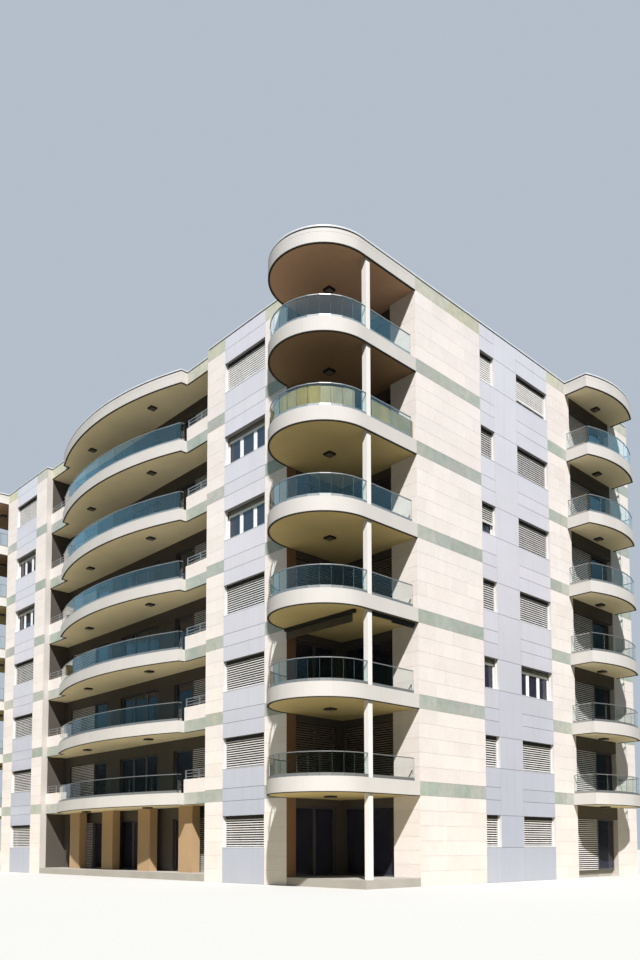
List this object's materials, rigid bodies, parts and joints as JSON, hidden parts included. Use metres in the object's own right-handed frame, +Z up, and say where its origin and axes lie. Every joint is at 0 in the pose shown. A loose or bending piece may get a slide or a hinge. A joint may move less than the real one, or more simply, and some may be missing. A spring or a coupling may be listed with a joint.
{
  "type": "apartment block",
  "caption": "Flat-roofed apartment block with stone walls, blue-grey panel bays, recessed corners with round-ended glass balconies, and bowed balconies on the front and ends.",
  "frame": {"origin": "centre of the bounding box on the ground", "axes": "+Z up, +X along the front to the right-hand end, -Y towards the front"},
  "size_m": [36.0196, 21.08, 22.42],
  "materials": {
    "concrete": "plain concrete and screed",
    "cream_stone": "honed pinkish-cream limestone",
    "green_stone": "honed grey-green stone",
    "panel": "satin pale lavender-blue panels",
    "white_render": "white painted fascia",
    "brown_stone": "brown stone in the recesses",
    "coping": "light metal coping",
    "window_glass": "dark window glass",
    "balcony_glass": "green-tinted safety glass",
    "shutter": "light grey slats",
    "rail_metal": "satin grey aluminium"
  },
  "bodies": {
    "root": {"ground_slab": "concrete", "floor_slabs": "concrete", "roof_slab": "concrete", "roof_coping": "coping", "front_pilasters": "cream_stone", "front_piers": "cream_stone", "front_bay_walls": "panel", "front_bands": "green_stone", "front_window_glass": "window_glass", "front_shutters": "shutter", "front_loggia_walls": "brown_stone", "front_loggia_headers": "brown_stone", "front_loggia_glazing": "window_glass", "front_loggia_bands": "green_stone", "front_loggia_parapets": "cream_stone", "front_bow_balconies": "white_render", "front_bow_glass": "balcony_glass", "parapet_railings": "rail_metal", "ground_pillars": "brown_stone", "glass_channels": "rail_metal", "glass_top_rails": "rail_metal", "corner_balconies": "white_render", "corner_columns": "white_render", "corner_piers": "brown_stone", "corner_return_walls": "cream_stone", "corner_headers": "brown_stone", "corner_glazing": "window_glass", "corner_balcony_glass": "balcony_glass", "side_stone_walls": "cream_stone", "side_pilasters": "cream_stone", "end_walls": "cream_stone", "side_lintels": "brown_stone", "side_wide_panels": "panel", "side_bay_walls": "panel", "side_bands": "green_stone", "side_window_glass": "window_glass", "side_shutters": "shutter", "side_balconies": "white_render", "side_balcony_glass": "balcony_glass", "side_door_glazing": "window_glass", "back_stone_walls": "cream_stone", "back_bay_walls": "panel", "back_bands": "green_stone", "back_window_glass": "window_glass", "back_shutters": "shutter"}
  },
  "joints": []
}
